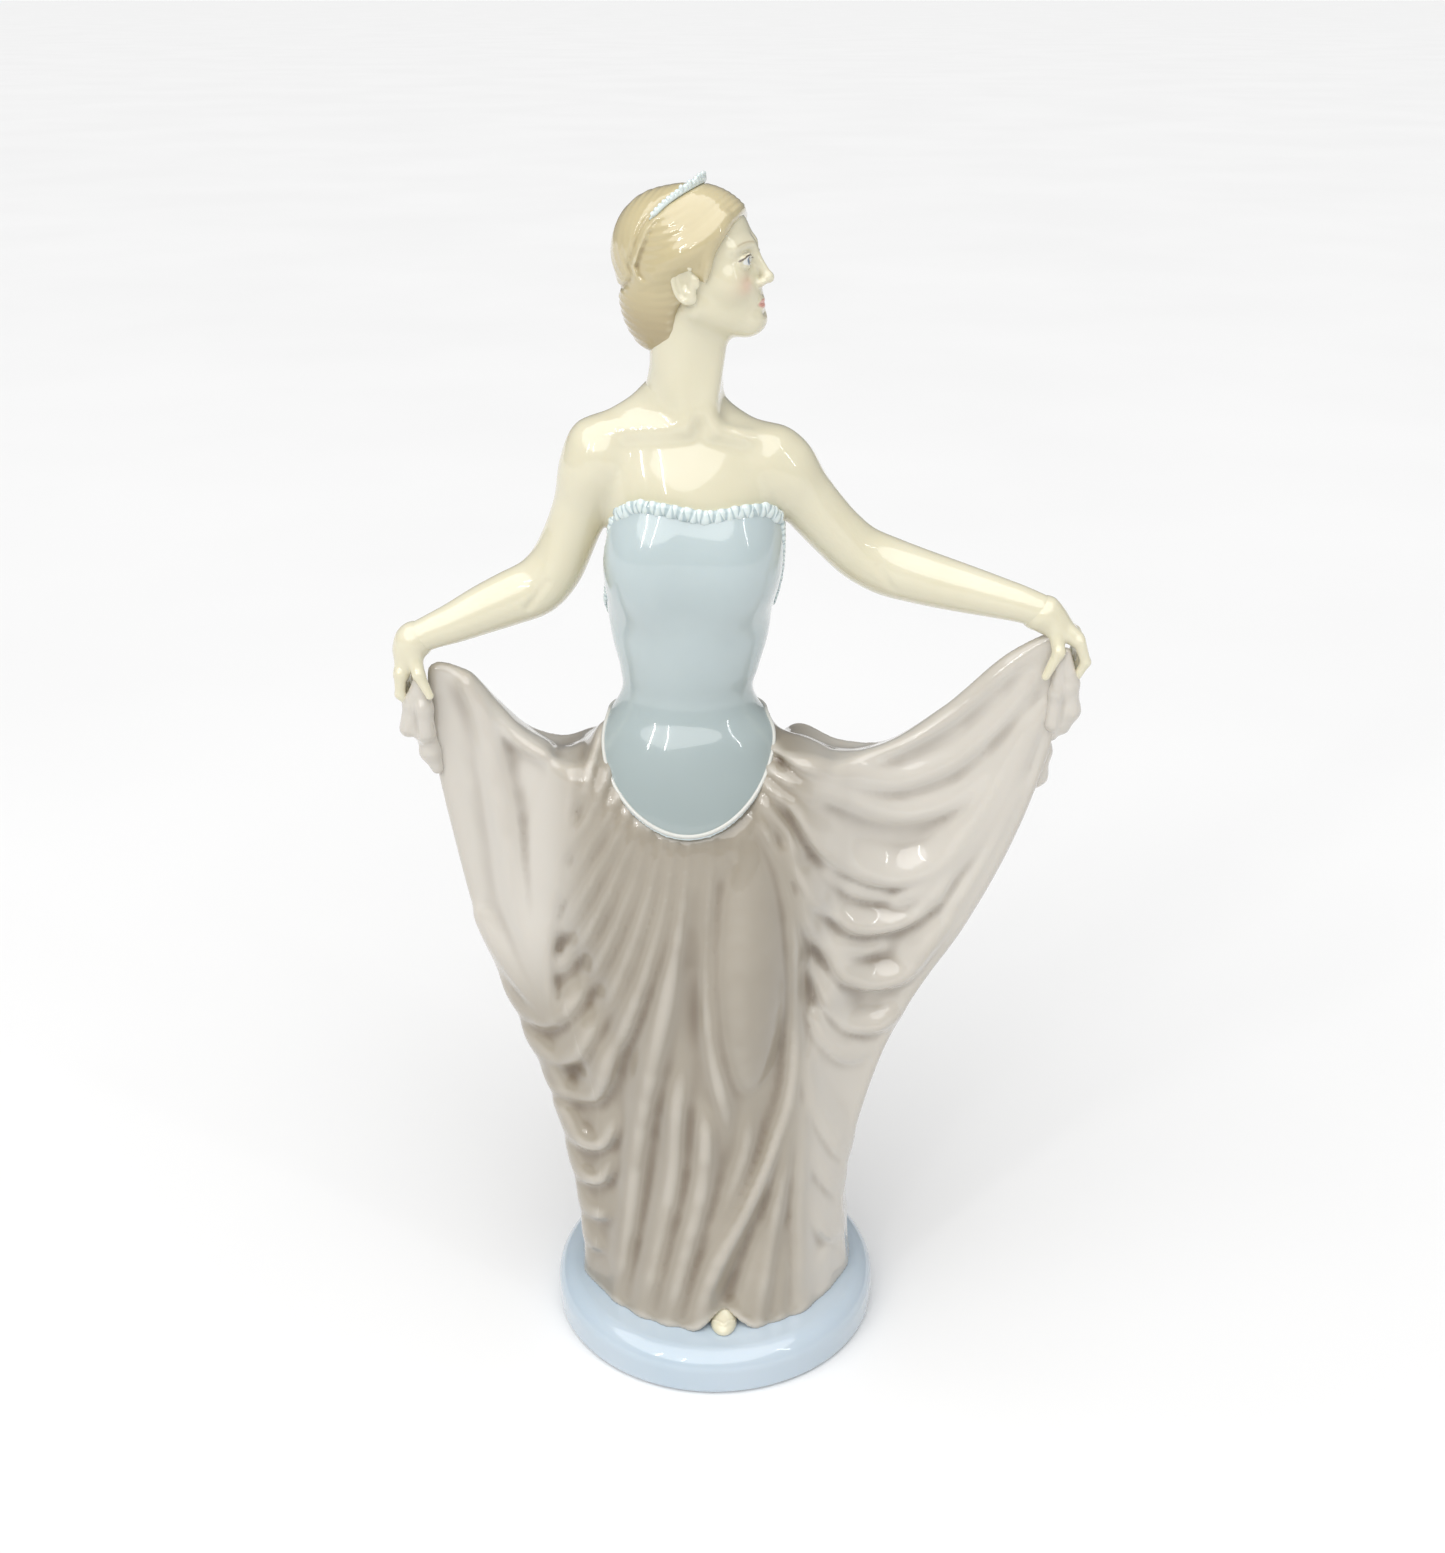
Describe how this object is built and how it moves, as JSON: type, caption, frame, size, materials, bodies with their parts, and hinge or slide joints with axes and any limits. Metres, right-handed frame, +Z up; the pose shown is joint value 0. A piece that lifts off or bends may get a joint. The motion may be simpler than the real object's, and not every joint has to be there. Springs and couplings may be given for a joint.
{
  "type": "porcelain figurine",
  "caption": "Glazed porcelain figurine of a standing dancer in a long draped skirt, lifting the cloth out to both sides, on a round plinth.",
  "frame": {"origin": "centre of the foot ring's plane, under the round plinth", "axes": "+Z up, -Y the way the dancer's chest faces, +X to the dancer's left"},
  "size_m": [0.1648, 0.088, 0.2999],
  "materials": {
    "base_glaze": "thick glossy pale grey-blue glaze",
    "skirt_glaze": "glossy mauve-grey glaze, paler on the ridges",
    "piping_glaze": "glossy near-white glaze",
    "skin_glaze": "glossy warm cream glaze",
    "bodice_glaze": "glossy pale blue-grey glaze",
    "trim_glaze": "glossy pale mint-white glaze",
    "hair_glaze": "glossy beige-blond glaze"
  },
  "bodies": {
    "root": {"plinth": "base_glaze", "skirt_body": "skirt_glaze", "right_wing": "skirt_glaze", "left_wing": "skirt_glaze", "right_tail": "skirt_glaze", "left_tail": "skirt_glaze", "left_lower_tail": "skirt_glaze", "waist_piping": "piping_glaze", "slipper": "skin_glaze", "torso": "skin_glaze", "bodice": "bodice_glaze", "neckline_trim": "trim_glaze", "back_trim": "trim_glaze", "right_arm": "skin_glaze", "left_arm": "skin_glaze", "right_hand": "skin_glaze", "left_hand": "skin_glaze", "head": "skin_glaze", "hair_cap": "hair_glaze", "chignon": "hair_glaze", "tiara_band": "trim_glaze", "tiara_beads": "trim_glaze"}
  },
  "joints": []
}
